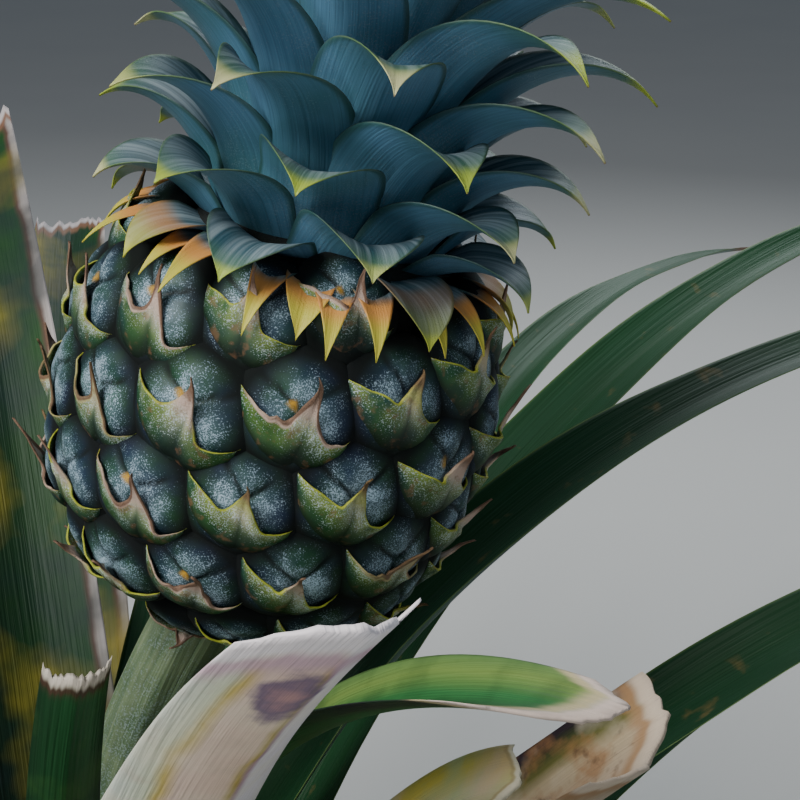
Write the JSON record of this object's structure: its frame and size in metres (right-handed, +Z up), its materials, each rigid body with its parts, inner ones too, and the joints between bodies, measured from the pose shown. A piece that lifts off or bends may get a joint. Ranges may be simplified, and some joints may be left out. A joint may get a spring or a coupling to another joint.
{
  "type": "pineapple plant",
  "caption": "Pineapple plant rooted in level ground: a leafy stem, one leaning fruit with its leafy crown, and a rosette of long leaves, some cut short.",
  "frame": {"origin": "middle of the stem's flat cut at ground level", "axes": "+Z up along the stem, +X towards the side the fruit leans to, -Y towards the viewer of the picture"},
  "size_m": [1.2415, 1.253, 0.6927],
  "materials": {
    "stem": "rough brown stem with the rings of old leaf bases",
    "stalk": "smooth pale green stalk with a mealy bloom",
    "rind": "dark blue-green fruitlets with a white mealy bloom and pale green bracts with dry tips",
    "crown": "waxy blue-grey leaves with fine lengthwise lines and yellow-green edges",
    "leaf": "stiff dark green leaves, paler and grey below, some cut across with pale torn ends",
    "dry_leaf": "dry tan leaf with brown spots and a dark edge"
  },
  "bodies": {
    "root": {"stem": "stem", "stalk": "stalk", "fruit": "rind", "crown": "crown", "leaf_01": "dry_leaf", "leaf_02": "dry_leaf", "leaf_03": "leaf", "leaf_04": "leaf", "leaf_05": "leaf", "leaf_06": "leaf", "leaf_07": "leaf", "leaf_08": "leaf", "leaf_09": "leaf", "leaf_10": "leaf", "leaf_11": "leaf", "leaf_12": "leaf", "leaf_13": "leaf", "leaf_14": "leaf", "leaf_15": "leaf", "leaf_16": "leaf", "leaf_17": "leaf", "leaf_18": "leaf", "leaf_19": "leaf", "leaf_20": "leaf", "leaf_21": "leaf", "leaf_22": "leaf", "leaf_23": "leaf", "leaf_24": "leaf", "leaf_25": "dry_leaf", "leaf_26": "leaf", "leaf_27": "leaf", "leaf_28": "leaf", "leaf_29": "leaf", "leaf_30": "leaf", "leaf_31": "leaf", "leaf_32": "leaf", "leaf_33": "leaf", "leaf_34": "leaf", "leaf_35": "leaf", "leaf_36": "leaf", "leaf_37": "leaf", "leaf_38": "leaf"}
  },
  "joints": []
}
